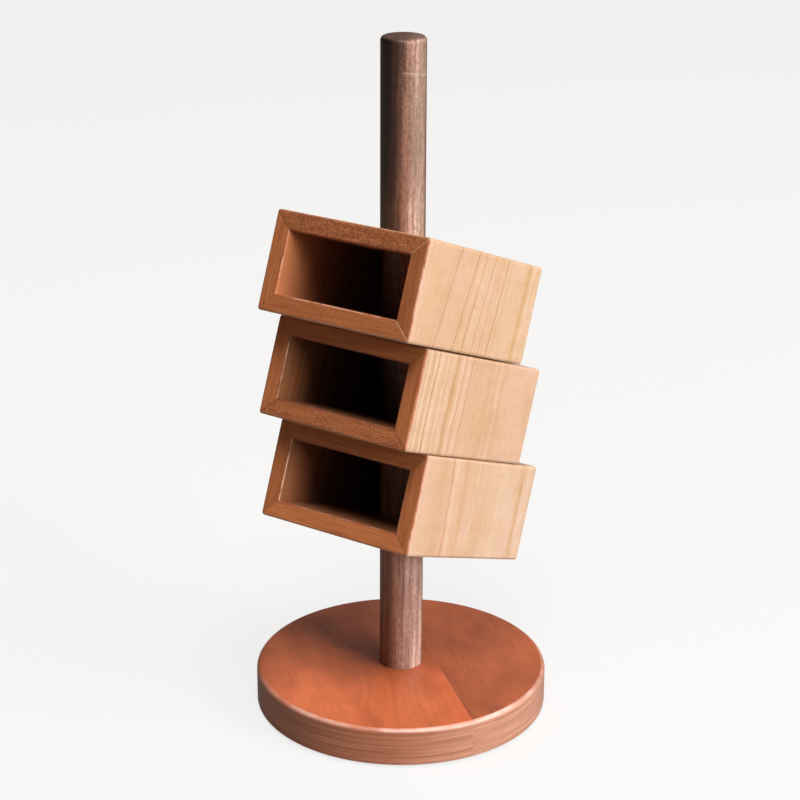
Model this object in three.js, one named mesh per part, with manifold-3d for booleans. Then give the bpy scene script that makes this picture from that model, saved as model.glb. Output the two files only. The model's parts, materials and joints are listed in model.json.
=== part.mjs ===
// Desk organiser: three tilted, open-fronted wooden boxes threaded on an upright pole that
// stands in a heavy round base. Each box slides up and down the pole and turns round it.
// Units are millimetres, +Z is up. The origin is on the pole's axis at table level, and the
// boxes open towards -Y.
import * as THREE from 'three';
import { mergeVertices } from 'three/addons/utils/BufferGeometryUtils.js';
import Module from 'manifold-3d';

const wasm = await Module();
wasm.setup();

// ---- stand ----------------------------------------------------------------------------
const POLE_R = 12; // 24 mm dowel
const POLE_TOP = 378;
const POLE_ROUND = 2.2; // rounded arris at the pole's upper end
const BASE_R = 81.5;
const BASE_BOTTOM = 1.5; // the foot pads hold the base this far off the table
const BASE_TOP = 23;
const BASE_ROUND_TOP = 2;
const BASE_ROUND_BOTTOM = 1.2;
const SOCKET_BOTTOM = 10; // floor of the blind socket that takes the pole's foot
const SEAM_OFFSET = 18.7; // glue line of the two base boards, from the pole's axis
const SEAM_TURN = THREE.MathUtils.degToRad(-39.7); // direction of the glue line
const SEAM_GAP = 0.2;
const FIT = 0.3; // play between a turned piece and its hole

const SCREW_R = 2.5;
const SCREW_HEAD_R = 5;
const SCREW_HEAD_H = 3;
const SCREW_TOP = 42;
const WASHER_R = 8;
const WASHER_H = 1;
const COUNTERBORE_R = 9;
const COUNTERBORE_TOP = 6.5;

const PAD_R = 7;
const PAD_RING_R = 64;
const PAD_COUNT = 4;

// ---- boxes ----------------------------------------------------------------------------
const BOX_W = 96.5;
const BOX_H = 53.7;
const BOX_D = 116;
const BOARD = 10; // board thickness
const TILT = THREE.MathUtils.degToRad(21.2); // the back of a box hangs lower than its front
const BORE_R = POLE_R + FIT;
const GLUE = 0.25; // glue line between two boards of a box

const BOXES = [
  { name: 'bottom', z: 127.2, turn: 0 },
  { name: 'middle', z: 185.3, turn: -0.7 },
  { name: 'top', z: 243.4, turn: 0 },
];

// Rubber ring that grips the pole, in a groove of the floor board's bore.
const RING_SECTION_R = 0.9;
const RING_IN_R = POLE_R + 0.15;
const RING_R = RING_IN_R + RING_SECTION_R;
const RING_LIFT = 0.6; // ring above the middle of the floor board
const GROOVE_R = RING_R + RING_SECTION_R + FIT;
const GROOVE_H = 2 * (RING_SECTION_R + FIT);

// ---- materials ------------------------------------------------------------------------
const wood = (color, roughness = 0.6) =>
  () => new THREE.MeshStandardMaterial({ color, roughness, metalness: 0 });
const CHERRY_LIGHT = wood(0xc9935f);
const CHERRY_MID = wood(0xb9794b);
const CHERRY_RED = wood(0xa85a35, 0.5);
const CHERRY_DARK = wood(0x94492c, 0.5);
const WALNUT = wood(0x76503f, 0.5);
const RUBBER = wood(0x1d1c1b, 0.85);
const FELT = wood(0x2a2725, 0.95);
const STEEL = () => new THREE.MeshStandardMaterial({ color: 0xb8bbbd, roughness: 0.35, metalness: 1 });

// ---- solids ---------------------------------------------------------------------------
function toSolid(geometry) {
  const bare = geometry.clone();
  bare.deleteAttribute('normal');
  bare.deleteAttribute('uv');
  const g = mergeVertices(bare, 1e-4);
  return new wasm.Manifold(new wasm.Mesh({
    numProp: 3,
    vertProperties: new Float32Array(g.attributes.position.array),
    triVerts: new Uint32Array(g.index.array),
  }));
}

function toGeometry(solid) {
  const mesh = solid.getMesh();
  const g = new THREE.BufferGeometry();
  g.setAttribute('position', new THREE.BufferAttribute(new Float32Array(mesh.vertProperties), 3));
  g.setIndex(new THREE.BufferAttribute(new Uint32Array(mesh.triVerts), 1));
  g.computeVertexNormals();
  return g;
}

function cut(geometry, ...cutters) {
  let solid = toSolid(geometry);
  for (const cutter of cutters) solid = solid.subtract(toSolid(cutter));
  return toGeometry(solid);
}

// A turned piece about +Z from its half profile of [radius, height] pairs, listed upwards.
function turned(profile, segments = 48) {
  const points = profile.map(([r, z]) => new THREE.Vector2(r, z));
  return new THREE.LatheGeometry(points, segments).rotateX(Math.PI / 2);
}

function cylinder(radius, z0, z1, segments = 48) {
  return turned([[0, z0], [radius, z0], [radius, z1], [0, z1]], segments);
}

// Quarter round from angle a0 to a1 about the point (r, z).
function arc(r, z, radius, a0, a1, steps = 4) {
  const out = [];
  for (let i = 0; i <= steps; i += 1) {
    const a = THREE.MathUtils.degToRad(a0 + ((a1 - a0) * i) / steps);
    out.push([r + radius * Math.cos(a), z + radius * Math.sin(a)]);
  }
  return out;
}

function block(x0, x1, y0, y1, z0, z1) {
  return new THREE.BoxGeometry(x1 - x0, y1 - y0, z1 - z0)
    .translate((x0 + x1) / 2, (y0 + y1) / 2, (z0 + z1) / 2);
}

const part = new THREE.Group();

function addPiece(parent, name, geometry, material) {
  const mesh = new THREE.Mesh(geometry, material());
  mesh.name = name;
  parent.add(mesh);
}

// ---- stand pieces ---------------------------------------------------------------------
// The base disc is glued up from two boards. The long board carries the pole.
function baseDisc() {
  return turned([
    [0, BASE_BOTTOM],
    ...arc(BASE_R - BASE_ROUND_BOTTOM, BASE_BOTTOM + BASE_ROUND_BOTTOM, BASE_ROUND_BOTTOM, -90, 0, 2),
    ...arc(BASE_R - BASE_ROUND_TOP, BASE_TOP - BASE_ROUND_TOP, BASE_ROUND_TOP, 0, 90, 3),
    [0, BASE_TOP],
  ], 72);
}

// Everything on the far side of the glue line (side = 1) or on the pole's side (side = -1).
function beyondSeam(side) {
  const far = 2 * BASE_R;
  const from = SEAM_OFFSET - (side * SEAM_GAP) / 2;
  const y0 = side > 0 ? from : -far;
  const y1 = side > 0 ? far : from;
  return block(-far, far, y0, y1, -far, far).rotateZ(SEAM_TURN);
}

function buildStand(group) {
  const socket = cylinder(POLE_R + FIT, SOCKET_BOTTOM, BASE_TOP + 5);
  const screwHole = cylinder(SCREW_R + FIT, -1, SOCKET_BOTTOM + 1, 24);
  const counterbore = cylinder(COUNTERBORE_R, -1, COUNTERBORE_TOP, 32);
  addPiece(group, 'base_board_long',
    cut(baseDisc(), beyondSeam(1), socket, screwHole, counterbore), CHERRY_RED);
  addPiece(group, 'base_board_short', cut(baseDisc(), beyondSeam(-1)), CHERRY_DARK);

  const poleFoot = SOCKET_BOTTOM + 0.2;
  addPiece(group, 'pole', turned([
    [0, SCREW_TOP + 1],
    [SCREW_R + 0.2, SCREW_TOP + 1],
    [SCREW_R + 0.2, poleFoot],
    [POLE_R, poleFoot],
    ...arc(POLE_R - POLE_ROUND, POLE_TOP - POLE_ROUND, POLE_ROUND, 0, 90),
    [0, POLE_TOP],
  ]), WALNUT);

  const washerTop = COUNTERBORE_TOP - 0.1;
  const washerBottom = washerTop - WASHER_H;
  addPiece(group, 'pole_washer', turned([
    [SCREW_R + FIT, washerBottom], [WASHER_R, washerBottom],
    [WASHER_R, washerTop], [SCREW_R + FIT, washerTop], [SCREW_R + FIT, washerBottom],
  ], 32), STEEL);

  const headTop = washerBottom - 0.1;
  const headBottom = headTop - SCREW_HEAD_H;
  const drive = new THREE.CylinderGeometry(2, 2, 3.6, 6).rotateX(Math.PI / 2);
  addPiece(group, 'pole_screw', cut(turned([
    [0, headBottom],
    [SCREW_HEAD_R - 0.6, headBottom], [SCREW_HEAD_R, headBottom + 0.6],
    [SCREW_HEAD_R, headTop], [SCREW_R, headTop],
    [SCREW_R, SCREW_TOP - 3], [0, SCREW_TOP],
  ], 24), drive.translate(0, 0, headBottom)), STEEL);

  for (let i = 0; i < PAD_COUNT; i += 1) {
    const a = ((i + 0.5) * 2 * Math.PI) / PAD_COUNT;
    const pad = cylinder(PAD_R, 0, BASE_BOTTOM, 24)
      .translate(PAD_RING_R * Math.cos(a), PAD_RING_R * Math.sin(a), 0);
    addPiece(group, `foot_pad_${i + 1}`, pad, FELT);
  }
}

// ---- box pieces -----------------------------------------------------------------------
// Box frame: x across, y from the open front to the back, z up, origin in the middle.

// A mitred board of the tube: outer face `span` wide at +z, `reach` from the box's middle.
function mitredBoard(span, reach) {
  const half = span / 2 - GLUE * Math.SQRT1_2;
  const shape = new THREE.Shape([
    new THREE.Vector2(-half, reach),
    new THREE.Vector2(-half + BOARD, reach - BOARD),
    new THREE.Vector2(half - BOARD, reach - BOARD),
    new THREE.Vector2(half, reach),
  ]);
  return new THREE.ExtrudeGeometry(shape, { depth: BOX_D, bevelEnabled: false, steps: 1 })
    .rotateX(Math.PI / 2)
    .translate(0, BOX_D / 2, 0);
}

// The back board is let into the tube, flush with its rear edges.
function backBoard() {
  const x = BOX_W / 2 - BOARD - GLUE;
  const z = BOX_H / 2 - BOARD - GLUE;
  return block(-x, x, BOX_D / 2 - BOARD, BOX_D / 2, -z, z);
}

// An upright cutter through the middle of the tilted box, in the box's frame.
function uprightCutter(radius, z0, z1) {
  return cylinder(radius, z0, z1).rotateX(TILT);
}

// Height of the floor board's middle on the pole's axis, from the box's middle.
const FLOOR_Z = -(BOX_H - BOARD) / 2 / Math.cos(TILT);
const RING_Z = FLOOR_Z + RING_LIFT;

function buildBox(group, { name, z, turn }) {
  const box = new THREE.Group();
  box.position.z = z;
  box.rotation.set(-TILT, 0, THREE.MathUtils.degToRad(turn), 'ZYX');
  const bore = uprightCutter(BORE_R, -BOX_H, BOX_H);
  const groove = uprightCutter(GROOVE_R, RING_Z - GROOVE_H / 2, RING_Z + GROOVE_H / 2);

  const roof = mitredBoard(BOX_W, BOX_H / 2);
  const floor = mitredBoard(BOX_W, BOX_H / 2).rotateY(Math.PI);
  addPiece(box, `${name}_roof_board`, cut(roof, bore), CHERRY_LIGHT);
  addPiece(box, `${name}_floor_board`, cut(floor, bore, groove), CHERRY_MID);
  addPiece(box, `${name}_left_board`,
    mitredBoard(BOX_H, BOX_W / 2).rotateY(-Math.PI / 2), CHERRY_MID);
  addPiece(box, `${name}_right_board`,
    mitredBoard(BOX_H, BOX_W / 2).rotateY(Math.PI / 2), CHERRY_LIGHT);
  addPiece(box, `${name}_back_board`, backBoard(), CHERRY_LIGHT);
  group.add(box);

  const section = arc(RING_R, z + RING_Z, RING_SECTION_R, -90, 270, 8);
  section[section.length - 1] = [...section[0]];
  addPiece(group, `${name}_grip_ring`, turned(section, 36), RUBBER);
}

buildStand(part);
for (const box of BOXES) buildBox(part, box);

export default part;
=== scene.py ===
import json
import math

import bmesh
import bpy
from mathutils import Matrix, Vector


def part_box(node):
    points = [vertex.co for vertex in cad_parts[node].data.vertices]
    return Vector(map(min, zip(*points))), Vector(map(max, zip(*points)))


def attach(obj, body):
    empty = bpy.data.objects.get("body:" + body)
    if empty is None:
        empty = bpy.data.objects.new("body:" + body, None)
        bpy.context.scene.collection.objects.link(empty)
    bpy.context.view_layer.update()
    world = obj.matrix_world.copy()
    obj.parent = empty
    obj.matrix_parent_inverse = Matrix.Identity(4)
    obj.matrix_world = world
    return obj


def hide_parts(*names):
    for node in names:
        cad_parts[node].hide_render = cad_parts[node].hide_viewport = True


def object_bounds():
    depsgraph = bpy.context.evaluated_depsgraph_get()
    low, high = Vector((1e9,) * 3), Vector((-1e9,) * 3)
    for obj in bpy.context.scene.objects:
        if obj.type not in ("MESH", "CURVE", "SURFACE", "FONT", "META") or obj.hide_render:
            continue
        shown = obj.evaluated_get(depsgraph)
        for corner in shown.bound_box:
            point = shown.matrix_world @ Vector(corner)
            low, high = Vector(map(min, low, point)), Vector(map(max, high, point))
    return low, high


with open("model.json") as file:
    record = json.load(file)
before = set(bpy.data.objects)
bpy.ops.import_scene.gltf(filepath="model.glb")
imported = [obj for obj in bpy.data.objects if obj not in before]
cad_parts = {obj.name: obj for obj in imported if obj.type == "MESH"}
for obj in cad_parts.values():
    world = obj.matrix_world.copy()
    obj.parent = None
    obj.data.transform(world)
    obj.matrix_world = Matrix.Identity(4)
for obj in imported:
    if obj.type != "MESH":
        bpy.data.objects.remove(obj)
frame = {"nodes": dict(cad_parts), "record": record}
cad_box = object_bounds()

MM = 0.001

# ---- sizes, in metres, as in the CAD --------------------------------------------------------
BOX_W, BOX_H, BOX_D, BOARD = 0.0965, 0.0537, 0.116, 0.010
TILT = math.radians(21.2)
POLE_R = 0.012
BORE_R = POLE_R + 0.3 * MM
BASE_R = cad_box[1].x
BASE_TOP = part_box("base_board_long")[1].z
BASE_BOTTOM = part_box("base_board_long")[0].z
POLE_FOOT, POLE_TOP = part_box("pole")[0].z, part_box("pole")[1].z
SEAM_OFFSET = 18.7 * MM
SEAM_TURN = math.radians(-39.7)

JOINTS = {j["name"]: j for j in frame["record"]["behaviour"]["joints"]}
BOX_Z = {
    "bottom": JOINTS["stack_turn"]["pos_m"][2],
    "middle": JOINTS["middle_turn"]["pos_m"][2],
    "top": JOINTS["top_turn"]["pos_m"][2],
}
BOX_TURN = {"bottom": 0.0, "middle": math.radians(-0.7), "top": 0.0}


# ---- node graph helper ----------------------------------------------------------------------
class Graph:
    """Short calls that add shader nodes and link them. A socket or a number goes in anywhere."""

    def __init__(self, name):
        self.mat = bpy.data.materials.new(name)
        self.mat.use_nodes = True
        self.tree = self.mat.node_tree
        self.tree.nodes.clear()

    def node(self, kind, **settings):
        n = self.tree.nodes.new(kind)
        for key, value in settings.items():
            setattr(n, key, value)
        return n

    def feed(self, socket, value):
        if isinstance(value, bpy.types.NodeSocket):
            self.tree.links.new(value, socket)
        elif value is not None:
            socket.default_value = value

    def math(self, op, a, b=None, c=None):
        n = self.node("ShaderNodeMath", operation=op)
        for socket, value in zip(n.inputs, (a, b, c)):
            self.feed(socket, value)
        return n.outputs[0]

    def vmath(self, op, a, b=None, scale=None):
        n = self.node("ShaderNodeVectorMath", operation=op)
        self.feed(n.inputs[0], a)
        self.feed(n.inputs[1], b)
        if scale is not None:
            self.feed(n.inputs["Scale"], scale)
        return n.outputs["Value"] if op in ("DOT_PRODUCT", "LENGTH") else n.outputs[0]

    def noise(self, vector, scale=1.0, detail=2.0, rough=0.5, w=None):
        dims = "1D" if vector is None else "3D"
        n = self.node("ShaderNodeTexNoise", noise_dimensions=dims)
        if vector is not None:
            self.feed(n.inputs["Vector"], vector)
        else:
            self.feed(n.inputs["W"], w)
        n.inputs["Scale"].default_value = scale
        n.inputs["Detail"].default_value = detail
        n.inputs["Roughness"].default_value = rough
        return n.outputs["Fac"]

    def white(self, w):
        n = self.node("ShaderNodeTexWhiteNoise", noise_dimensions="1D")
        self.feed(n.inputs["W"], w)
        return n.outputs["Value"]

    def span(self, value, lo, hi, out_lo=0.0, out_hi=1.0, smooth=False):
        n = self.node("ShaderNodeMapRange")
        n.interpolation_type = "SMOOTHSTEP" if smooth else "LINEAR"
        for key, v in (("Value", value), ("From Min", lo), ("From Max", hi),
                       ("To Min", out_lo), ("To Max", out_hi)):
            self.feed(n.inputs[key], v)
        return n.outputs[0]

    def ramp(self, fac, stops, mode="LINEAR"):
        n = self.node("ShaderNodeValToRGB")
        ramp = n.color_ramp
        ramp.interpolation = mode
        while len(ramp.elements) > 1:
            ramp.elements.remove(ramp.elements[-1])
        for i, (pos, col) in enumerate(stops):
            e = ramp.elements[0] if i == 0 else ramp.elements.new(pos)
            e.position = pos
            e.color = (*col, 1.0) if len(col) == 3 else col
        self.feed(n.inputs[0], fac)
        return n.outputs[0]

    def mix(self, fac, a, b, blend="MIX"):
        n = self.node("ShaderNodeMix", data_type="RGBA", blend_type=blend)
        self.feed(n.inputs[0], fac)
        for socket, value in ((n.inputs[6], a), (n.inputs[7], b)):
            if isinstance(value, tuple) and len(value) == 3:
                value = (*value, 1.0)
            self.feed(socket, value)
        return n.outputs[2]

    def combine(self, x, y, z):
        n = self.node("ShaderNodeCombineXYZ")
        for socket, value in zip(n.inputs, (x, y, z)):
            self.feed(socket, value)
        return n.outputs[0]

    def separate(self, vector):
        n = self.node("ShaderNodeSeparateXYZ")
        self.feed(n.inputs[0], vector)
        return n.outputs[0], n.outputs[1], n.outputs[2]

    def local_mm(self):
        """The object's own coordinates in millimetres."""
        n = self.node("ShaderNodeTexCoord")
        return self.vmath("SCALE", n.outputs["Object"], scale=1000.0)

    def turned(self, vector, angle):
        """The vector turned about z."""
        n = self.node("ShaderNodeVectorRotate", rotation_type="Z_AXIS")
        self.feed(n.inputs["Vector"], vector)
        n.inputs["Angle"].default_value = angle
        return n.outputs[0]

    def local_normal(self):
        return self.node("ShaderNodeTexCoord").outputs["Normal"]

    def bump(self, height, strength, distance_mm):
        n = self.node("ShaderNodeBump")
        n.inputs["Strength"].default_value = strength
        n.inputs["Distance"].default_value = distance_mm * MM
        self.feed(n.inputs["Height"], height)
        return n.outputs[0]

    def finish(self, color, rough, normal=None, metallic=0.0, coat=0.0, sheen=0.0,
               specular=0.5):
        p = self.node("ShaderNodeBsdfPrincipled")
        self.feed(p.inputs["Base Color"], color)
        self.feed(p.inputs["Roughness"], rough)
        self.feed(p.inputs["Metallic"], metallic)
        p.inputs["Coat Weight"].default_value = coat
        p.inputs["Coat Roughness"].default_value = 0.35
        p.inputs["Sheen Weight"].default_value = sheen
        p.inputs["Specular IOR Level"].default_value = specular
        if normal is not None:
            self.feed(p.inputs["Normal"], normal)
        out = self.node("ShaderNodeOutputMaterial")
        self.tree.links.new(p.outputs[0], out.inputs[0])
        return self.mat


# ---- materials ------------------------------------------------------------------------------
EDGE_LIGHT = (0.58, 0.200, 0.066)
EDGE_DARK = (0.36, 0.102, 0.035)
LINE_TINT = (0.68, 0.50, 0.37)
BAND_TINT = (0.88, 0.77, 0.57)
PALE_STREAK = (0.78, 0.61, 0.45)

# The look of each box over its depth, in mm from the middle (the front is negative): plain
# tones, thin growth lines, broad bands and pale streaks, the last three as (place, half
# width, strength). A mitred box is folded up from one plank, so its four boards share them.
GRAIN = {
    "top": {
        "tones": [(-58, (0.684, 0.463, 0.299)), (-20, (0.666, 0.438, 0.278)),
                  (12, (0.679, 0.468, 0.304)), (58, (0.684, 0.473, 0.304))],
        "lines": [(-29.4, 1.2, 0.60), (-12.2, 0.8, 0.85), (-4.2, 0.8, 0.70), (5.2, 0.9, 0.60),
                  (11.6, 0.8, 0.50), (15.5, 0.7, 0.28), (19.6, 1.0, 0.70), (24.3, 0.8, 0.35),
                  (30.0, 0.8, 0.20)],
        "bands": [(-32.2, 3.0, 0.35), (13.0, 4.0, 0.25), (44.3, 2.5, 0.90)],
        "pale": [(-7.8, 1.8, 0.35), (-1.4, 1.6, 0.30), (48.5, 2.0, 0.40)],
        "lean": (0.19, 0.03), "fine": 0.30,
    },
    "middle": {
        "tones": [(-58, (0.657, 0.463, 0.304)), (-30, (0.657, 0.448, 0.284)),
                  (-8, (0.670, 0.430, 0.277)), (30, (0.672, 0.446, 0.306)),
                  (58, (0.678, 0.456, 0.318))],
        "lines": [(-56.2, 0.6, 0.55), (-54.4, 0.6, 0.60), (-48.8, 0.6, 0.45), (-45.0, 0.8, 0.95),
                  (-38.0, 0.7, 0.40), (-34.0, 0.7, 0.35), (-27.0, 1.1, 0.65), (-19.0, 0.8, 0.55),
                  (-12.0, 0.8, 0.60), (14.5, 1.0, 0.25)],
        "bands": [(-50.0, 2.0, 0.75), (-26.3, 3.0, 1.00), (8.5, 3.0, 0.35), (22.5, 2.5, 0.45)],
        "pale": [(-52.6, 0.9, 0.80), (-47.0, 1.0, 0.75), (-42.6, 1.4, 0.75), (-36.0, 1.0, 0.40),
                 (-30.5, 1.0, 0.30), (-21.5, 1.2, 0.55), (-15.0, 1.5, 0.35), (18.0, 1.8, 0.30)],
        "lean": (0.0, -0.05), "fine": 0.42,
    },
    "bottom": {
        "tones": [(-58, (0.684, 0.468, 0.315)), (-36, (0.670, 0.433, 0.278)),
                  (0, (0.679, 0.463, 0.310)), (32, (0.698, 0.497, 0.352)),
                  (58, (0.693, 0.492, 0.341))],
        "lines": [(-27.8, 1.0, 0.60), (-21.0, 0.8, 0.15), (5.0, 0.9, 0.18), (45.3, 0.8, 0.50)],
        "bands": [(-37.0, 7.0, 0.30), (-14.4, 3.2, 0.65), (-1.0, 1.8, 0.25), (8.0, 3.0, 0.25),
                  (44.0, 3.4, 0.85)],
        "pale": [(-24.0, 2.8, 0.55), (-3.5, 1.6, 0.40), (24.0, 6.0, 0.30), (50.5, 2.5, 0.35)],
        "lean": (-0.085, -0.01), "fine": 0.22,
    },
}

# Board ends at the mitres: how dark (negative) or pale (positive) the glue line shows at the
# board's -x and +x end. The back board has no mitres.
GLUE_LINES = {
    "top": {"roof": (-0.6, 0.3), "floor": (0.5, -0.3), "left": (-0.3, -0.6),
            "right": (0.3, 0.5)},
    "middle": {"roof": (-0.3, -0.15), "floor": (-0.5, -0.4), "left": (-0.4, -0.3),
               "right": (-0.15, -0.5)},
    "bottom": {"roof": (-0.15, -0.2), "floor": (-0.3, -0.15), "left": (-0.15, -0.15),
               "right": (-0.2, -0.3)},
}
# How strongly the saw left the front edge of a board mottled.
MOTTLED = {("top", "roof"): 1.0, ("middle", "floor"): 1.0, ("bottom", "right"): 0.4}
# How much paler a board's outer and inner arrises show: rubbed wear, and painted highlight where
# they catch the light.
ARRIS_WEAR_AND_HIGHLIGHT = {("top", "roof"): (0.05, 0.15), ("top", "floor"): (0.30, 0.70),
        ("top", "left"): (0.20, 0.50), ("top", "right"): (0.60, 0.10),
        ("middle", "roof"): (0.10, 0.10), ("middle", "floor"): (0.15, 0.12),
        ("middle", "left"): (0.15, 0.60), ("middle", "right"): (0.35, 0.10),
        ("bottom", "roof"): (0.05, 0.10), ("bottom", "floor"): (0.20, 0.30),
        ("bottom", "left"): (0.15, 0.70), ("bottom", "right"): (0.50, 0.35)}
# How much lighter or darker than usual a board's front edge is.
EDGE_TINT = {("top", "roof"): 0.86, ("top", "right"): 0.80, ("bottom", "floor"): 1.25}
# Painted shade inside each box: the share of the wood's own colour left on the inner faces.
CAVITY_SHADE = {"top": (0.68, 0.38, 0.25), "middle": (0.36, 0.20, 0.125), "bottom": (0.40, 0.225, 0.145)}
# The boards laid out flat in one strip: where the middle of each lies, in mm.
UNROLLED = {"right": 0.0, "roof": -75.1, "left": -150.2, "floor": 75.1, "back": 240.0}


def place_stop(y):
    return min(max((y + 60.0) / 120.0, 0.0), 1.0)


def line_stops(lines, front=1.6, rear=0.9):
    """Ramp stops over the box's depth. A line darkens slowly from the front and ends sharply
    towards the rear, as late wood does."""
    stops = [(0.0, (0.0,) * 3)]
    for y, half, strength in lines:
        stops += [(place_stop(y - front * half), (0.0,) * 3), (place_stop(y), (strength,) * 3),
                  (place_stop(y + rear * half), (0.0,) * 3)]
    stops.sort(key=lambda stop: stop[0])
    return stops[:32]


def grain_place(g, look, strip, y, depth, seeded):
    """How far back in the plank a point lies, in mm, with the grain's lean and waver."""
    warp = g.math("SUBTRACT", g.noise(g.vmath("MULTIPLY", seeded, (0.018, 0.030, 0.030)),
                                      1.0, 2.0), 0.5)
    wobble = g.math("SUBTRACT", g.noise(g.vmath("MULTIPLY", seeded, (0.10, 0.06, 0.06)),
                                        1.0, 2.0), 0.5)
    near = g.math("MINIMUM", g.math("MAXIMUM", strip, -60.0), 60.0)
    lean = g.span(y, -40.0, 50.0, *look["lean"])
    q = g.math("MULTIPLY_ADD", depth, 0.5, y)
    q = g.math("MULTIPLY_ADD", near, lean, q)
    q = g.math("MULTIPLY_ADD", warp, 5.0, q)
    return g.math("MULTIPLY_ADD", wobble, 1.5, q)


def plank_colour(g, look, q, seed, seeded, tint):
    """Plain tones with growth lines, bands and pale streaks. Also gives the late wood."""
    place = g.math("MULTIPLY_ADD", q, 1 / 120.0, 0.5)
    col = g.ramp(place, [(place_stop(at), tuple(c * tint for c in tone))
                         for at, tone in look["tones"]], "EASE")
    # slow pink and yellow drifts
    patch = g.noise(g.vmath("MULTIPLY", seeded, (0.035, 0.055, 0.055)), 1.0, 3.0)
    drift = g.mix(g.span(patch, 0.35, 0.65), (0.955, 0.925, 0.84), (1.02, 1.0, 1.07))
    col = g.mix(1.0, col, drift, "MULTIPLY")
    cross = g.noise(g.vmath("MULTIPLY", seeded, (0.16, 0.05, 0.05)), 1.0, 3.0, 0.6)
    col = g.mix(1.0, col, g.mix(g.span(cross, 0.3, 0.7), (0.965, 0.955, 0.94),
                                (1.03, 1.035, 1.045)), "MULTIPLY")

    # growth lines, bands and pale streaks, each coming and going along the grain
    fade = g.span(g.noise(g.vmath("MULTIPLY", seeded, (0.07, 0.12, 0.12)), 1.0, 1.0),
                  0.3, 0.65, 0.5, 1.0)
    bands = g.ramp(place, line_stops(look["bands"], 1.5, 1.1), "EASE")
    pale = g.ramp(place, line_stops(look["pale"], 1.2, 1.2), "EASE")
    lines = g.ramp(place, line_stops(look["lines"]), "EASE")
    col = g.mix(g.math("MULTIPLY", bands, fade), col, g.mix(1.0, col, BAND_TINT, "MULTIPLY"))
    col = g.mix(g.math("MULTIPLY", pale, g.span(cross, 0.35, 0.6, 0.35, 1.0)), col,
                tuple(c * tint for c in PALE_STREAK))
    wander = g.noise(None, 0.11, 2.0, w=g.math("ADD", q, seed * 13.0))
    phase = g.math("ADD", g.math("MULTIPLY", q, 0.55), g.math("MULTIPLY", wander, 5.0))
    rise = g.math("POWER", g.math("FRACT", phase), 3.0)
    strength = g.math("POWER", g.white(g.math("ADD", g.math("FLOOR", phase), seed * 3.0)), 2.0)
    fine = g.math("MULTIPLY", g.math("MULTIPLY", rise, strength), look["fine"])
    late = g.math("MULTIPLY", g.math("MAXIMUM", lines, fine), fade)
    return g.mix(late, col, g.mix(1.0, col, LINE_TINT, "MULTIPLY")), late


def fibres_and_pores(g, col, seeded):
    """The colour with its finest detail. Also gives the fibres and the pores."""
    fibre = g.noise(g.vmath("MULTIPLY", seeded, (0.07, 1.5, 1.5)), 1.0, 4.0, 0.65)
    col = g.mix(1.0, col, g.mix(g.span(fibre, 0.3, 0.7), (1.05, 1.06, 1.07),
                                (0.93, 0.89, 0.84)), "MULTIPLY")
    fleck = g.noise(g.vmath("MULTIPLY", seeded, (0.55, 0.9, 0.9)), 1.0, 3.0, 0.7)
    col = g.mix(1.0, col, g.mix(g.span(fleck, 0.3, 0.7), (0.94, 0.915, 0.89),
                                (1.03, 1.05, 1.07)), "MULTIPLY")
    pores = g.span(g.noise(g.vmath("MULTIPLY", seeded, (0.35, 5.0, 5.0)), 1.0, 1.0), 0.66, 0.78)
    col = g.mix(g.math("MULTIPLY", pores, 0.22), col,
                g.mix(1.0, col, (0.62, 0.5, 0.42), "MULTIPLY"))
    return col, fibre, pores


def sawn_edge(g, box, side, seeded, tint):
    """The colour of a sawn edge, which drinks far more oil. Also gives its torn specks."""
    along = g.noise(g.vmath("MULTIPLY", seeded, (0.035, 0.7, 0.7)), 1.0, 4.0, 0.6)
    depth_of = tint * EDGE_TINT.get((box, side), 1.0)
    edge = g.mix(g.span(along, 0.30, 0.72), tuple(c * depth_of for c in EDGE_LIGHT),
                 tuple(c * depth_of for c in EDGE_DARK))
    rough_cut = g.noise(g.vmath("MULTIPLY", seeded, (0.75, 0.9, 1.1)), 1.0, 4.0, 0.75)
    where = g.span(g.noise(g.vmath("MULTIPLY", seeded, (0.045, 0.045, 0.045)), 1.0, 1.0),
                   0.35, 0.55, 0.25, 1.0)
    where = g.math("MULTIPLY", where, MOTTLED.get((box, side), 0.3))
    speck = g.math("MULTIPLY", g.span(rough_cut, 0.48, 0.60), where)
    edge = g.mix(g.math("MULTIPLY", speck, 0.75), edge, (0.165, 0.050, 0.022))
    gleam = g.math("MULTIPLY", g.span(rough_cut, 0.47, 0.36), where)
    return g.mix(g.math("MULTIPLY", gleam, 0.30), edge, (0.72, 0.39, 0.25)), speck


def glue_marks(g, col, box, side, x, thin, sawn):
    """The colour with a dark or pale glue line on the sawn edge at each end of a board."""
    low, high = GLUE_LINES[box].get(side, (0.0, 0.0))
    for strength, at_high in ((low, False), (high, True)):
        here = g.math("GREATER_THAN" if at_high else "LESS_THAN", x, 0.0)
        mark = g.math("MULTIPLY", g.math("MULTIPLY", thin, here), sawn)
        tone = (0.80, 0.52, 0.30) if strength > 0 else (0.10, 0.030, 0.014)
        col = g.mix(g.math("MULTIPLY", mark, abs(strength)), col, tone)
    return col


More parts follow.
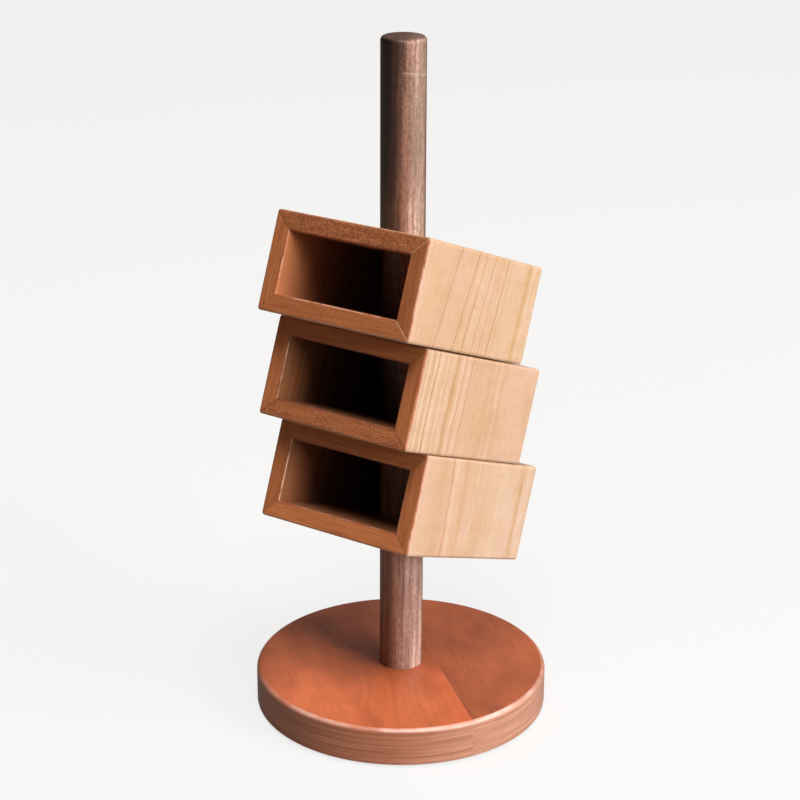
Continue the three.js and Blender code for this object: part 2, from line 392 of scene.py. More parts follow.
def board_wood(name, box, side, seed, reach, half, tint):
    """Oiled cherry. The board's x runs along the grain, y across it and z out of its face."""
    g = Graph(name)
    look = GRAIN[box]
    x, y, z = g.separate(g.local_mm())
    depth = g.math("SUBTRACT", z, reach * 1000.0)
    strip = g.math("ADD", x, UNROLLED[side])
    flat = g.combine(strip, y, depth)
    seeded = g.vmath("ADD", flat, (seed * 37.1, seed * 11.3, seed * 5.7))

    q = grain_place(g, look, strip, y, depth, seeded)
    col, late = plank_colour(g, look, q, seed, seeded, tint)
    col, fibre, pores = fibres_and_pores(g, col, seeded)

    # the open front and the rear show sawn edges, with glue lines at the mitres
    facing = g.math("ABSOLUTE", g.separate(g.local_normal())[1])
    sawn = g.span(facing, 0.35, 0.75, smooth=True)
    edge, speck = sawn_edge(g, box, side, seeded, tint)
    col = g.mix(sawn, col, edge)
    from_mitre = g.math("SUBTRACT", g.math("ADD", depth, half * 1000.0),
                        g.math("ABSOLUTE", x))
    jitter = g.noise(g.vmath("MULTIPLY", flat, (0.8, 0.8, 0.8)), 1.0, 2.0)
    thin = g.span(from_mitre, g.math("MULTIPLY", jitter, 0.55),
                  g.math("MULTIPLY_ADD", jitter, 0.9, 0.25), 1.0, 0.0)
    col = glue_marks(g, col, box, side, x, thin, sawn)

    # the inner face is darkened with painted shade, most of all far inside
    inner = g.span(depth, -9.1, -9.5)
    cavity_shade = g.ramp(g.span(y, -58.0, 2.0), [
        (0.0, tuple(c * 1.25 for c in CAVITY_SHADE[box])), (0.22, CAVITY_SHADE[box]),
        (1.0, tuple(c * k for c, k in zip(CAVITY_SHADE[box], (0.50, 0.60, 0.75))))])
    col = g.mix(inner, col, g.mix(1.0, col, cavity_shade, "MULTIPLY"))

    # arrises show paler wood: rubbed wear, and painted highlight where they catch the light
    arris = g.math("MULTIPLY", g.span(facing, 0.15, 0.5, smooth=True),
                   g.span(facing, 0.99, 0.90, smooth=True))
    outer_wear_and_highlight, inner_wear_and_highlight = ARRIS_WEAR_AND_HIGHLIGHT.get((box, side), (0.3, 0.3))
    wear_and_highlight = g.math("MULTIPLY_ADD", inner, inner_wear_and_highlight - outer_wear_and_highlight, outer_wear_and_highlight)
    arris_patchiness = g.noise(g.vmath("MULTIPLY", seeded, (0.11, 0.11, 0.11)), 1.0, 2.0, 0.6)
    wear_and_highlight = g.math("MULTIPLY", wear_and_highlight, g.span(arris_patchiness, 0.38, 0.58, 0.15, 1.0))
    col = g.mix(g.math("MULTIPLY", arris, wear_and_highlight), col,
                g.mix(inner, (0.78, 0.47, 0.37), (0.86, 0.55, 0.38)))

    rough = g.math("MULTIPLY_ADD", sawn, -0.04, g.span(fibre, 0.3, 0.7, 0.44, 0.58))
    height = g.math("MULTIPLY_ADD", fibre, 0.5, g.math("MULTIPLY", late, -0.3))
    height = g.math("MULTIPLY_ADD", pores, -0.35, height)
    height = g.math("MULTIPLY_ADD", g.math("MULTIPLY", speck, sawn), -0.6, height)
    height = g.math("MULTIPLY_ADD", g.math("MULTIPLY", thin, sawn), -1.2, height)
    return g.finish(col, rough, g.bump(height, 0.25, 0.12), specular=0.35)


# Where the painted shadow beside the pole's foot is centred on the base, in mm, in the frame of
# its grain.
FOOT_SHADOW_AT = (-2.0, -15.0, 0.0)


def base_wood(name, seed, light, dark, deep, far_light_and_shade, strip_light_tint):
    """Stained cherry with a soft sheen. x runs along the grain, which follows the glue line.
    The next to last argument multiplies the colour towards -x: painted shade on the long
    board, painted light on the short one. The last adds painted light beside the glue line."""
    g = Graph(name)
    p = g.turned(g.local_mm(), -SEAM_TURN)
    x, y, z = g.separate(p)
    seeded = g.vmath("ADD", p, (seed * 41.0, seed * 17.0, seed * 7.0))
    warp = g.math("SUBTRACT", g.noise(g.vmath("MULTIPLY", seeded, (0.010, 0.02, 0.02)),
                                      1.0, 2.0), 0.5)
    q = g.math("MULTIPLY_ADD", warp, 34.0, g.math("MULTIPLY_ADD", z, 1.7, y))
    drift = g.noise(None, 0.05, 2.0, w=g.math("ADD", q, seed * 19.0))
    phase = g.math("ADD", g.math("MULTIPLY", q, 0.22), g.math("MULTIPLY", drift, 4.0))
    ring = g.math("POWER", g.math("FRACT", phase), 3.0)
    ring = g.math("MULTIPLY", ring, g.white(g.math("FLOOR", phase)))
    fibre = g.noise(g.vmath("MULTIPLY", seeded, (0.035, 1.3, 1.3)), 1.0, 4.0, 0.62)
    cloud = g.noise(g.vmath("MULTIPLY", seeded, (0.016, 0.030, 0.030)), 1.0, 3.0, 0.55)
    fleck = g.noise(g.vmath("MULTIPLY", seeded, (0.25, 3.2, 3.2)), 1.0, 2.0, 0.6)
    col = g.mix(g.span(cloud, 0.34, 0.66), light, dark)
    col = g.mix(g.math("MULTIPLY", ring, 0.35), col, deep)
    col = g.mix(g.span(fibre, 0.38, 0.72, 0.0, 0.30), col, deep)
    col = g.mix(g.span(fleck, 0.60, 0.78, 0.0, 0.30), col, deep)
    patch = g.noise(g.vmath("MULTIPLY", seeded, (0.045, 0.075, 0.075)), 1.0, 4.0, 0.6)
    col = g.mix(1.0, col, g.mix(g.span(patch, 0.34, 0.66), (0.86, 0.84, 0.80),
                                (1.07, 1.08, 1.12)), "MULTIPLY")
    # painted shade towards -x on the long board, painted light there on the short one
    toward_far_end = g.span(g.math("MULTIPLY_ADD", warp, 20.0, x), 45.0, -62.0, smooth=True)
    col = g.mix(toward_far_end, col, g.mix(1.0, col, far_light_and_shade, "MULTIPLY"))
    # painted light on the strip beside the glue line, and a painted shadow beside the pole's foot
    strip_light = g.math("MULTIPLY", g.span(g.math("MULTIPLY_ADD", patch, 10.0, y), 8.0, 20.0,
                                        smooth=True), g.span(x, -34.0, -4.0, smooth=True))
    col = g.mix(strip_light, col, g.mix(1.0, col, strip_light_tint, "MULTIPLY"))
    foot = g.vmath("LENGTH", g.vmath("MULTIPLY", g.vmath("SUBTRACT", p, FOOT_SHADOW_AT),
                                     (1.0, 1.0, 0.0)))
    foot_shadow = g.span(g.math("MULTIPLY_ADD", patch, 8.0, foot), 30.0, 8.0, smooth=True)
    col = g.mix(foot_shadow, col, g.mix(1.0, col, (0.66, 0.62, 0.60), "MULTIPLY"))

    # the rim shows the boards' edges, paler and banded
    up = g.math("ABSOLUTE", g.separate(g.local_normal())[2])
    rim = g.span(up, 0.80, 0.25, smooth=True)
    band = g.noise(g.vmath("MULTIPLY", seeded, (0.012, 0.012, 0.95)), 1.0, 4.0, 0.6)
    rim_col = g.mix(g.span(band, 0.34, 0.68), (0.50, 0.192, 0.104), (0.27, 0.080, 0.037))
    short = g.noise(g.vmath("MULTIPLY", seeded, (0.10, 0.10, 2.6)), 1.0, 2.0, 0.6)
    rim_col = g.mix(g.span(short, 0.58, 0.72, 0.0, 0.45), rim_col, (0.24, 0.085, 0.050))
    # painted shade on the far left of the rim
    shaded = g.span(g.math("MULTIPLY_ADD", x, 0.27, g.math("MULTIPLY", y, 0.96)), -28.0, -74.0,
                    smooth=True)
    rim_col = g.mix(shaded, rim_col, g.mix(1.0, rim_col, (0.80, 0.76, 0.70), "MULTIPLY"))
    # painted sheen on the rim's lit right side, paler and greyer
    rim_sheen = g.math("MULTIPLY_ADD", x, 0.83, g.math("MULTIPLY", y, 0.55))
    rim_sheen = g.span(g.math("MULTIPLY_ADD", patch, 14.0, rim_sheen), 52.0, 92.0, smooth=True)
    rim_col = g.mix(rim_sheen, rim_col, g.mix(1.0, rim_col, (1.42, 1.92, 2.40), "MULTIPLY"))
    col = g.mix(rim, col, rim_col)
    # its rounded arris gets a painted highlight, strongest towards the front right
    arris = g.math("MULTIPLY", g.span(up, 0.30, 0.60, smooth=True),
                   g.span(up, 0.995, 0.93, smooth=True))
    arris_highlight = g.span(g.noise(g.vmath("MULTIPLY", seeded, (0.05, 0.05, 0.05)), 1.0, 3.0, 0.6),
                    0.35, 0.65, 0.20, 0.85)
    arris_highlight = g.math("MULTIPLY", arris_highlight, g.span(x, -20.0, 60.0, 0.12, 1.0))
    col = g.mix(g.math("MULTIPLY", arris, arris_highlight), col, (0.86, 0.58, 0.49))

    rough = g.span(fibre, 0.3, 0.7, 0.36, 0.48)
    height = g.math("MULTIPLY_ADD", g.math("MULTIPLY", band, rim), 0.9,
                    g.math("MULTIPLY", fibre, 0.35))
    height = g.math("MULTIPLY_ADD", g.math("MULTIPLY", short, rim), -0.5, height)
    return g.finish(col, rough, g.bump(height, 0.22, 0.15), coat=0.40, specular=0.40)


def walnut():
    """Oiled walnut dowel, grain along z, with darker heartwood down one side, darkened further
    there by painted shade, and painted light down the other side.
    """
    g = Graph("walnut_oiled")
    p = g.local_mm()
    x, y, z = g.separate(p)
    seeded = g.vmath("ADD", p, (31.0, 57.0, 12.0))
    warp = g.math("SUBTRACT", g.noise(g.vmath("MULTIPLY", seeded, (0.05, 0.05, 0.012)),
                                      1.0, 2.0, 0.5), 0.5)
    across = g.math("ADD", g.math("MULTIPLY", x, 0.82), g.math("MULTIPLY", y, 0.57))
    q = g.math("SUBTRACT", g.math("MULTIPLY_ADD", warp, 5.0, across),
               g.span(z, 290.0, 375.0, 0.0, 3.1))
    jag = g.math("SUBTRACT", g.noise(g.vmath("MULTIPLY", seeded, (0.45, 0.45, 0.09)),
                                     1.0, 4.0, 0.75), 0.5)
    # across points to the lit side: the dark end of each ramp is heartwood deepened by painted
    # shade, the pale end painted light
    place = g.span(g.math("MULTIPLY_ADD", jag, 7.0, q), -12.0, 12.0)
    upper = g.ramp(place, [(0.0, (0.024, 0.011, 0.008)), (0.16, (0.050, 0.022, 0.015)),
                           (0.30, (0.100, 0.044, 0.029)), (0.42, (0.170, 0.077, 0.051)),
                           (0.49, (0.350, 0.166, 0.106)),
                           (0.57, (0.520, 0.272, 0.184)), (0.80, (0.665, 0.468, 0.366)),
                           (1.0, (0.465, 0.305, 0.235))])
    lower = g.ramp(place, [(0.0, (0.350, 0.158, 0.098)), (0.26, (0.430, 0.204, 0.130)),
                           (0.50, (0.500, 0.278, 0.208)), (0.78, (0.900, 0.625, 0.525)),
                           (1.0, (0.820, 0.550, 0.455))])
    # the lower part is paler still: painted light
    col = g.mix(g.span(z, 175.0, 110.0), upper, lower)
    bands = g.noise(g.vmath("MULTIPLY", g.combine(q, 0.0, z), (0.34, 0.0, 0.008)), 1.0, 2.0, 0.6)
    col = g.mix(g.span(bands, 0.44, 0.58, 0.0, 0.85), col,
                g.mix(1.0, col, (0.56, 0.50, 0.47), "MULTIPLY"))
    # painted shade as a dark line down the lit side's outline
    limb = g.span(across, 10.8, 11.7, smooth=True)
    col = g.mix(g.math("MULTIPLY", limb, 0.7), col, (0.14, 0.070, 0.048))
    fibre = g.noise(g.vmath("MULTIPLY", seeded, (1.2, 1.2, 0.040)), 1.0, 4.0, 0.7)
    col = g.mix(g.span(fibre, 0.40, 0.66, 0.0, 0.50), col,
                g.mix(1.0, col, (0.50, 0.42, 0.38), "MULTIPLY"))
    col = g.mix(g.span(fibre, 0.46, 0.34, 0.0, 0.30), col,
                g.mix(1.0, col, (1.35, 1.35, 1.40), "MULTIPLY"))
    mottle = g.noise(g.vmath("MULTIPLY", seeded, (0.60, 0.60, 0.32)), 1.0, 5.0, 0.75)
    col = g.mix(g.span(mottle, 0.42, 0.58, 0.0, 0.55), col,
                g.mix(1.0, col, (0.52, 0.45, 0.42), "MULTIPLY"))
    # scuffs near the top, where the boxes are pushed on
    scuffs = g.noise(g.vmath("MULTIPLY", seeded, (1.1, 1.1, 0.9)), 1.0, 2.0, 0.6)
    scuffs = g.math("MULTIPLY", g.span(scuffs, 0.57, 0.66),
                    g.math("MULTIPLY", g.span(z, 325.0, 350.0), g.span(across, -3.0, 3.0)))
    col = g.mix(g.math("MULTIPLY", scuffs, 0.38), col, (0.70, 0.55, 0.46))
    pores = g.noise(g.vmath("MULTIPLY", seeded, (3.0, 3.0, 0.30)), 1.0, 2.0, 0.5)
    pores = g.span(pores, 0.60, 0.72)
    col = g.mix(g.math("MULTIPLY", pores, 0.65), col, (0.045, 0.024, 0.018))
    # handled end grain at the top
    cap = g.span(z, POLE_TOP * 1000.0 - 1.1, POLE_TOP * 1000.0 - 0.1, smooth=True)
    col = g.mix(g.math("MULTIPLY", cap, 0.75), col,
                g.mix(g.span(mottle, 0.40, 0.60), (0.170, 0.084, 0.062), (0.060, 0.028, 0.020)))
    # a pale rub mark where a box has been turned on the pole
    ring = g.math("ABSOLUTE", g.math("SUBTRACT", g.math("MULTIPLY_ADD", across, 0.17, z), 361.0))
    worn = g.noise(g.vmath("MULTIPLY", seeded, (0.25, 0.25, 0.25)), 1.0, 2.0)
    mark = g.math("MULTIPLY", g.span(ring, 0.05, 0.8, 1.0, 0.0),
                  g.math("MULTIPLY", g.span(worn, 0.35, 0.55), g.span(across, -2.0, 2.0)))
    col = g.mix(g.math("MULTIPLY", mark, 0.42), col, (0.72, 0.56, 0.45))
    rough = g.math("MULTIPLY_ADD", mark, 0.15, g.span(fibre, 0.3, 0.7, 0.36, 0.52))
    height = g.math("MULTIPLY_ADD", pores, -0.6, g.math("MULTIPLY", fibre, 0.5))
    height = g.math("MULTIPLY_ADD", mottle, -0.5, height)
    return g.finish(col, rough, g.bump(height, 0.4, 0.18), coat=0.18, specular=0.4)


def rubber():
    g = Graph("grip_rubber")
    p = g.local_mm()
    speck = g.noise(p, 3.0, 3.0, 0.6)
    col = g.mix(g.span(speck, 0.35, 0.7), (0.018, 0.018, 0.018), (0.036, 0.034, 0.033))
    return g.finish(col, g.span(speck, 0.3, 0.7, 0.62, 0.82), g.bump(speck, 0.2, 0.05))


def felt():
    g = Graph("pressed_felt")
    p = g.local_mm()
    fuzz = g.noise(p, 2.2, 5.0, 0.75)
    clump = g.noise(p, 0.5, 2.0)
    col = g.mix(g.span(fuzz, 0.3, 0.7), (0.030, 0.026, 0.024), (0.085, 0.074, 0.066))
    col = g.mix(g.math("MULTIPLY", clump, 0.4), col, (0.05, 0.043, 0.038))
    return g.finish(col, 0.95, g.bump(fuzz, 0.8, 0.25), sheen=0.5)


def zinc():
    g = Graph("zinc_plate")
    p = g.local_mm()
    x, y, _ = g.separate(p)
    radius = g.vmath("LENGTH", g.combine(x, y, 0.0))
    turning = g.noise(None, 6.0, 2.0, w=radius)
    blot = g.noise(p, 0.6, 3.0)
    col = g.mix(g.span(blot, 0.3, 0.7), (0.60, 0.61, 0.63), (0.48, 0.49, 0.51))
    rough = g.span(turning, 0.3, 0.7, 0.28, 0.45)
    return g.finish(col, rough, g.bump(turning, 0.15, 0.03), metallic=1.0)


def pale_floor():
    """A pale sweep. The camera sees it evened out, as if it were lit from far around."""
    g = Graph("pale_floor")
    tone = g.noise(g.local_mm(), 0.004, 2.0)
    seen = g.node("ShaderNodeLightPath").outputs["Is Camera Ray"]
    col = g.mix(tone, (0.84, 0.835, 0.83), (0.87, 0.865, 0.86))
    col = g.mix(seen, (0.30, 0.27, 0.25), col)
    p = g.node("ShaderNodeBsdfPrincipled")
    g.feed(p.inputs["Base Color"], col)
    p.inputs["Roughness"].default_value = 0.9
    p.inputs["Specular IOR Level"].default_value = 0.1
    glow = g.node("ShaderNodeEmission")
    glow.inputs["Color"].default_value = (0.95, 0.945, 0.935, 1.0)
    even = g.math("MULTIPLY", seen, 0.82)
    both = g.node("ShaderNodeMixShader")
    g.feed(both.inputs[0], even)
    g.tree.links.new(p.outputs[0], both.inputs[1])
    g.tree.links.new(glow.outputs[0], both.inputs[2])
    out = g.node("ShaderNodeOutputMaterial")
    g.tree.links.new(both.outputs[0], out.inputs[0])
    return g.mat


# ---- mesh helpers ---------------------------------------------------------------------------
SHARP_ANGLE = math.radians(32.0)


def make_object(name, bm, matrix=None):
    """A piece from a bmesh in its own frame, placed by matrix."""
    mesh = bpy.data.meshes.new(name)
    bmesh.ops.recalc_face_normals(bm, faces=bm.faces)
    bm.to_mesh(mesh)
    bm.free()
    for poly in mesh.polygons:
        poly.use_smooth = True
    mesh.set_sharp_from_angle(angle=SHARP_ANGLE)
    obj = bpy.data.objects.new(name, mesh)
    bpy.context.scene.collection.objects.link(obj)
    if matrix is not None:
        obj.matrix_world = matrix
    return obj


def lathe(profile, segments=96):
    """A closed turned solid about +z from (radius, height) pairs that start and end on the
    axis or close on themselves."""
    bm = bmesh.new()
    rings = []
    for r, z in profile:
        if r < 1e-9:
            rings.append([bm.verts.new((0, 0, z))])
            continue
        rings.append([
            bm.verts.new((r * math.cos(a), r * math.sin(a), z))
            for a in (2 * math.pi * i / segments for i in range(segments))
        ])
    for lower, upper in zip(rings, rings[1:]):
        for i in range(segments):
            j = (i + 1) % segments
            quad = [lower[i % len(lower)], lower[j % len(lower)],
                    upper[j % len(upper)], upper[i % len(upper)]]
            face = [v for k, v in enumerate(quad) if v not in quad[:k]]
            bm.faces.new(face)
    return bm


def arc(r, z, radius, a0, a1, steps):
    out = []
    for i in range(steps + 1):
        a = math.radians(a0 + (a1 - a0) * i / steps)
        out.append((r + radius * math.cos(a), z + radius * math.sin(a)))
    return out


def rod(radius, z0, z1):
    """The profile of a plain cylinder."""
    return [(0, z0), (radius, z0), (radius, z1), (0, z1)]


def boolean_cut(bm, cutters):
    """bm minus each cutter bmesh, as a new bmesh."""
    mesh = bpy.data.meshes.new("work")
    bmesh.ops.recalc_face_normals(bm, faces=bm.faces)
    bm.to_mesh(mesh)
    bm.free()
    body = bpy.data.objects.new("work", mesh)
    bpy.context.scene.collection.objects.link(body)
    tools = []
    for cutter in cutters:
        tool_mesh = bpy.data.meshes.new("tool")
        bmesh.ops.recalc_face_normals(cutter, faces=cutter.faces)
        cutter.to_mesh(tool_mesh)
        cutter.free()
        tool = bpy.data.objects.new("tool", tool_mesh)
        bpy.context.scene.collection.objects.link(tool)
        mod = body.modifiers.new("cut", "BOOLEAN")
        mod.operation, mod.object, mod.solver = "DIFFERENCE", tool, "EXACT"
        tools.append(tool)
    bpy.context.view_layer.update()
    done = body.evaluated_get(bpy.context.evaluated_depsgraph_get())
    out = bmesh.new()
    out.from_mesh(done.to_mesh())
    for obj in [body, *tools]:
        data = obj.data
        bpy.data.objects.remove(obj)
        bpy.data.meshes.remove(data)
    return out


def weighted(obj):
    """Flat faces keep flat shading beside their rounded arrises."""
    mod = obj.modifiers.new("even_normals", "WEIGHTED_NORMAL")
    mod.keep_sharp = True
    mod.weight = 80


def outward_bevel(bm, edges, width, segments):
    edges = [e for e in edges if e.is_valid]
    if edges:
        bmesh.ops.bevel(bm, geom=edges, offset=width, offset_type="OFFSET", affect="EDGES",
                        segments=segments, profile=0.5, clamp_overlap=True)


# ---- box boards -----------------------------------------------------------------------------
CORNER_ROUND = 1.6 * MM
FRONT_ROUND = 1.5 * MM
INNER_ROUND = 0.8 * MM
BORE_ROUND = 0.4 * MM
BACK_ROUND = 0.35 * MM
MITRE_GAP = 0.03 * MM
BACK_GAP = 0.05 * MM
CUT_REACH = 0.06  # half the length of a cutter through a box


def board_profile(span, reach):
    """Half round corners at the outer tips, mitred ends, listed round the section."""
    half = span / 2 - MITRE_GAP
    inner = reach - BOARD
    right = arc(half - CORNER_ROUND, reach - CORNER_ROUND, CORNER_ROUND, 45, 90, 4)
    left = [(-x, z) for x, z in reversed(right)]
    return [(-(half - BOARD), inner), (half - BOARD, inner), *right, *left]


def board_solid(span, reach):
    bm = bmesh.new()
    section = board_profile(span, reach)
    front = [bm.verts.new((x, -BOX_D / 2, z)) for x, z in section]
    back = [bm.verts.new((x, BOX_D / 2, z)) for x, z in section]
    bm.faces.new(front)
    bm.faces.new(list(reversed(back)))
    n = len(section)
    for i in range(n):
        j = (i + 1) % n
        bm.faces.new([front[j], front[i], back[i], back[j]])
    bmesh.ops.recalc_face_normals(bm, faces=bm.faces)

    inner = reach - BOARD
    outer_edges = [e for e in bm.edges if abs(e.verts[0].co.y - e.verts[1].co.y) < 1e-6
                   and min(v.co.z for v in e.verts) > inner + 1e-6]
    outward_bevel(bm, outer_edges, FRONT_ROUND, 4)
    inner_edges = [e for e in bm.edges
                   if all(abs(v.co.z - inner) < 1e-6 for v in e.verts)
                   and all(abs(v.co.y + BOX_D / 2) < 1e-6 for v in e.verts)]
    outward_bevel(bm, inner_edges, INNER_ROUND, 3)
    return bm


def upright_tool(profile, turn):
    """A turned cutter along the pole, seen from a board's own frame."""
    bm = lathe(profile, 96)
    bm.transform(turn.inverted() @ Matrix.Rotation(TILT, 4, "X"))
    return bm


def soften_bore(bm, turn, reach):
    """Breaks the sharp rims of the bore."""
    to_upright = (turn.inverted() @ Matrix.Rotation(TILT, 4, "X")).inverted()
    rims = []
    for e in bm.edges:
        ok = True
        for v in e.verts:
            u = to_upright @ v.co
            on_bore = abs(math.hypot(u.x, u.y) - BORE_R) < 0.02 * MM
            on_face = min(abs(v.co.z - reach), abs(v.co.z - reach + BOARD)) < 1e-6
            ok = ok and on_bore and on_face
        if ok:
            rims.append(e)
    outward_bevel(bm, rims, BORE_ROUND, 2)


TURNS = {
    "roof": Matrix.Identity(4),
    "floor": Matrix.Rotation(math.pi, 4, "Y"),
    "left": Matrix.Rotation(-math.pi / 2, 4, "Y"),
    "right": Matrix.Rotation(math.pi / 2, 4, "Y"),
}
# the grip ring's groove in the floor board's bore
RING_R = POLE_R + 1.05 * MM
FLOOR_Z = -(BOX_H - BOARD) / 2 / math.cos(TILT)
RING_Z = FLOOR_Z + 0.6 * MM
GROOVE_R, GROOVE_HALF = RING_R + 1.2 * MM, 1.2 * MM


def box_matrix(box):
    return (Matrix.Translation((0, 0, BOX_Z[box]))
            @ Matrix.Rotation(BOX_TURN[box], 4, "Z")
            @ Matrix.Rotation(-TILT, 4, "X"))


def build_board(box, side, seed):
    wide = side in ("roof", "floor")
    span, reach = (BOX_W, BOX_H / 2) if wide else (BOX_H, BOX_W / 2)
    bm = board_solid(span, reach)
    if wide:
        tools = [upright_tool(rod(BORE_R, -CUT_REACH, CUT_REACH), TURNS[side])]
        if side == "floor":
            groove = rod(GROOVE_R, RING_Z - GROOVE_HALF, RING_Z + GROOVE_HALF)
            tools.append(upright_tool(groove, TURNS[side]))
        bm = boolean_cut(bm, tools)
        soften_bore(bm, TURNS[side], reach)
    node = f"{box}_{side}_board"
    obj = make_object(f"{node}_wood", bm, box_matrix(box) @ TURNS[side])
    weighted(obj)
    tint = {"roof": 0.98, "floor": 0.95, "left": 0.97, "right": 1.0}[side]
    obj.data.materials.append(
        board_wood(f"cherry_{box}_{side}", box, side, seed, reach, span / 2, tint))
    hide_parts(node)
    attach(obj, f"{box}_box")


def build_back(box, seed):
    half_x, half_z = BOX_W / 2 - BOARD - BACK_GAP, BOX_H / 2 - BOARD - BACK_GAP
    bm = bmesh.new()
    bmesh.ops.create_cube(bm, size=1.0)
    bm.transform(Matrix.Diagonal((2 * half_x, BOARD, 2 * half_z, 1.0)))
    outward_bevel(bm, list(bm.edges), BACK_ROUND, 2)
    # the board's own frame has z out of the back, so its face grain runs across the box
    turn = Matrix.Rotation(-math.pi / 2, 4, "X")
    bm.transform(turn.inverted())
    shift = Matrix.Translation((0, BOX_D / 2 - BOARD / 2, 0))
    node = f"{box}_back_board"
    obj = make_object(f"{node}_wood", bm, box_matrix(box) @ shift @ turn)
    weighted(obj)
    obj.data.materials.append(
        board_wood(f"cherry_{box}_back", box, "back", seed, BOARD / 2, BOX_W, 0.97))
    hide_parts(node)
    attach(obj, f"{box}_box")


for b, box in enumerate(("bottom", "middle", "top")):
    for side in ("roof", "floor", "left", "right"):
        build_board(box, side, 1.0 + b)
    build_back(box, 20.0 + b)


# ---- stand ----------------------------------------------------------------------------------
POLE_ROUND = 2.4 * MM
FOOT_CHAMFER = 0.4 * MM
POLE_RINGS = 12 * MM  # spacing of the pole's rings of vertices
POLE_HOLE_R = 2.7 * MM
BASE_TOP_ROUND, BASE_LOW_ROUND = 2.8 * MM, 1.2 * MM
SOCKET_R = POLE_R + 0.15 * MM
SCREW_HOLE_R = 2.8 * MM
COUNTERBORE_R, COUNTERBORE_TOP = 9 * MM, 6.5 * MM
PAST = 10 * MM  # how far a cutter stands out of what it cuts


def build_pole():
    z = POLE_FOOT + FOOT_CHAMFER
    profile = [(0, POLE_FOOT), (POLE_R - FOOT_CHAMFER, POLE_FOOT), (POLE_R, z)]
    while z < POLE_TOP - POLE_ROUND - POLE_RINGS:
        z += POLE_RINGS
        profile.append((POLE_R, z))
    profile += arc(POLE_R - POLE_ROUND, POLE_TOP - POLE_ROUND, POLE_ROUND, 0, 90, 8)
    profile += [(POLE_R / 3, POLE_TOP), (0, POLE_TOP)]
    hole_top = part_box("pole_screw")[1].z + 1 * MM
    hole = lathe(rod(POLE_HOLE_R, POLE_FOOT - PAST, hole_top), 48)
    bm = boolean_cut(lathe(profile, 96), [hole])
    obj = make_object("pole_walnut", bm)
    obj.data.materials.append(walnut())
    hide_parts("pole")
    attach(obj, "stand")


def seam_block(side):
    """Everything beyond the glue line on one side, as a cutter in the seam's frame."""
    size = 0.4
    bm = bmesh.new()
    bmesh.ops.create_cube(bm, size=size)
    edge = SEAM_OFFSET - side * 0.01 * MM
    bm.transform(Matrix.Translation((0, edge + side * size / 2, 0)))
    return bm


def build_base():
    low, top = BASE_LOW_ROUND, BASE_TOP_ROUND
    profile = [(0, BASE_BOTTOM),
               *arc(BASE_R - low, BASE_BOTTOM + low, low, -90, 0, 5),
               *arc(BASE_R - top, BASE_TOP - top, top, 0, 90, 8),
               (0, BASE_TOP)]
    turn = Matrix.Rotation(SEAM_TURN, 4, "Z")
    socket_z = POLE_FOOT - 0.2 * MM
    socket = rod(SOCKET_R, socket_z, BASE_TOP + PAST)
    through = rod(SCREW_HOLE_R, -PAST, socket_z + 1 * MM)
    counterbore = rod(COUNTERBORE_R, -PAST, COUNTERBORE_TOP)
    boards = (
        ("base_board_long", 1, "red_cherry",
         base_wood("stained_cherry_long", 3.0, (0.76, 0.190, 0.068), (0.56, 0.132, 0.048),
                   (0.36, 0.083, 0.032), (0.60, 0.63, 0.67), (1.16, 1.10, 1.06))),
        ("base_board_short", -1, "dark_cherry",
         base_wood("stained_cherry_short", 8.0, (0.53, 0.138, 0.050), (0.39, 0.099, 0.037),
                   (0.26, 0.068, 0.031), (1.56, 1.54, 1.56), (1.0, 1.0, 1.0))),
    )
    for node, side, slot, mat in boards:
        cutters = [seam_block(side)]
        if side > 0:
            cutters += [lathe(socket, 96), lathe(through, 32), lathe(counterbore, 64)]
        bm = boolean_cut(lathe(profile, 180), cutters)
        bm.transform(turn)
        obj = make_object(f"{node}_wood", bm)
        weighted(obj)
        obj.data.materials.append(mat)
        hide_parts(node)
        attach(obj, "stand")


def finish_cad_node(node, mat, bevel=0.0):
    """Keeps a CAD node's shape, with a real finish and softened arrises."""
    obj = frame["nodes"][node]
    for s in obj.material_slots:
        s.link = "OBJECT"
        s.material = mat
    if bevel:
        mod = obj.modifiers.new("soften", "BEVEL")
        mod.width, mod.segments, mod.limit_method = bevel, 2, "ANGLE"
        mod.angle_limit = math.radians(40)


build_pole()
build_base()
steel_mat, felt_mat, rubber_mat = zinc(), felt(), rubber()
finish_cad_node("pole_screw", steel_mat, 0.15 * MM)
finish_cad_node("pole_washer", steel_mat, 0.15 * MM)
for i in range(1, 5):
    finish_cad_node(f"foot_pad_{i}", felt_mat, 0.25 * MM)
for box in BOX_Z:
    finish_cad_node(f"{box}_grip_ring", rubber_mat)


# ---- stage, light and camera ----------------------------------------------------------------
FLOOR_HALF = 9.0
FLOOR_DROP = 0.02 * MM  # keeps the floor clear of the pads' undersides
LIT_AT = (0, 0, 0.18)  # the point that every light is aimed at
CAMERA_PLACE = (0.61385, -0.87666, 0.57631)
CAMERA_FORWARD = (-0.53868563, 0.7676107, -0.34726302)
CAMERA_UP = (-0.20290664, 0.2818438, 0.93775955)
SENSOR_WIDTH, LENS = 36.0, 94.8


def add_floor():
    bm = bmesh.new()
    bmesh.ops.create_grid(bm, x_segments=8, y_segments=8, size=FLOOR_HALF)
    floor = make_object("studio_floor", bm)
    floor.location.z = -FLOOR_DROP
    floor.data.materials.append(pale_floor())


def add_area(name, direction, distance, size, power, color):
    light = bpy.data.lights.new(name, "AREA")
    light.shape, light.size, light.energy, light.color = "DISK", size, power, color
    obj = bpy.data.objects.new(name, light)
    d = Vector(direction).normalized()
    obj.location = Vector(LIT_AT) + d * distance
    obj.rotation_mode = "QUATERNION"
    obj.rotation_quaternion = d.to_track_quat("Z", "Y")
    bpy.context.scene.collection.objects.link(obj)
    return obj


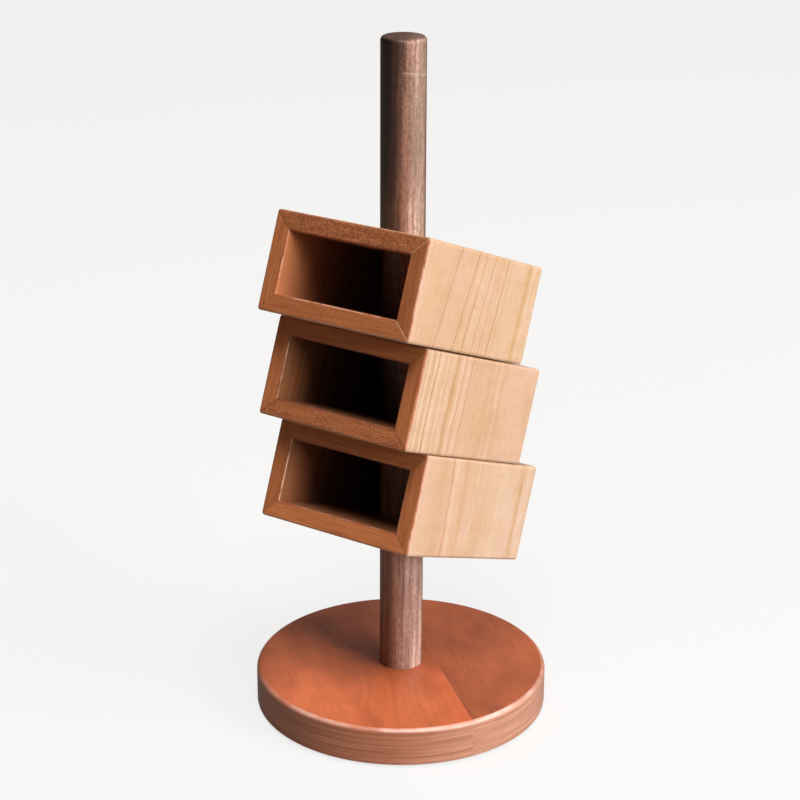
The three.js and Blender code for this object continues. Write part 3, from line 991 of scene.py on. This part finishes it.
def add_world():
    """Soft room light, brighter from the right and from above."""
    world = bpy.data.worlds.new("studio")
    world.use_nodes = True
    tree = world.node_tree
    tree.nodes.clear()
    coord = tree.nodes.new("ShaderNodeTexCoord")
    dot = tree.nodes.new("ShaderNodeVectorMath")
    dot.operation = "DOT_PRODUCT"
    dot.inputs[1].default_value = Vector((0.75, 0.45, 0.60)).normalized()
    span = tree.nodes.new("ShaderNodeMapRange")
    span.inputs["From Min"].default_value = -0.5
    span.inputs["From Max"].default_value = 1.0
    span.inputs["To Min"].default_value = 0.03
    span.inputs["To Max"].default_value = 0.33
    background = tree.nodes.new("ShaderNodeBackground")
    background.inputs["Color"].default_value = (1.0, 0.985, 0.965, 1.0)
    # the camera sees an even pale backdrop
    backdrop = tree.nodes.new("ShaderNodeBackground")
    backdrop.inputs["Color"].default_value = (0.90, 0.895, 0.885, 1.0)
    seen = tree.nodes.new("ShaderNodeLightPath")
    both = tree.nodes.new("ShaderNodeMixShader")
    out = tree.nodes.new("ShaderNodeOutputWorld")
    tree.links.new(coord.outputs["Generated"], dot.inputs[0])
    tree.links.new(dot.outputs["Value"], span.inputs["Value"])
    tree.links.new(span.outputs[0], background.inputs["Strength"])
    tree.links.new(seen.outputs["Is Camera Ray"], both.inputs[0])
    tree.links.new(background.outputs[0], both.inputs[1])
    tree.links.new(backdrop.outputs[0], both.inputs[2])
    tree.links.new(both.outputs[0], out.inputs[0])
    bpy.context.scene.world = world


def add_camera():
    data = bpy.data.cameras.new("camera")
    data.sensor_width, data.lens = SENSOR_WIDTH, LENS
    data.clip_start, data.clip_end = 0.05, 40.0
    cam = bpy.data.objects.new("camera", data)
    forward = Vector(CAMERA_FORWARD)
    right = forward.cross(Vector(CAMERA_UP)).normalized()
    up = right.cross(forward).normalized()
    rot = Matrix((right, up, -forward)).transposed()
    cam.matrix_world = Matrix.Translation(CAMERA_PLACE) @ rot.to_4x4()
    bpy.context.scene.collection.objects.link(cam)
    bpy.context.scene.camera = cam


add_floor()
add_world()
add_area("key", (1.0, -0.13, 0.30), 4.0, 1.3, 100.0, (1.0, 0.985, 0.985))
add_area("side_soft", (1.0, 0.28, 0.80), 4.0, 2.0, 66.0, (1.0, 0.985, 0.985))
add_area("top_soft", (0.30, -0.42, 1.0), 3.75, 1.7, 84.0, (1.0, 0.98, 0.96))
fill = add_area("fill", (-0.80, 0.60, 0.16), 4.0, 3.0, 15.0, (0.98, 0.99, 1.0))
fill.visible_glossy = False
add_camera()

scene = bpy.context.scene
scene.view_settings.view_transform = "Standard"
scene.view_settings.look = "None"
scene.view_settings.exposure = 0.0
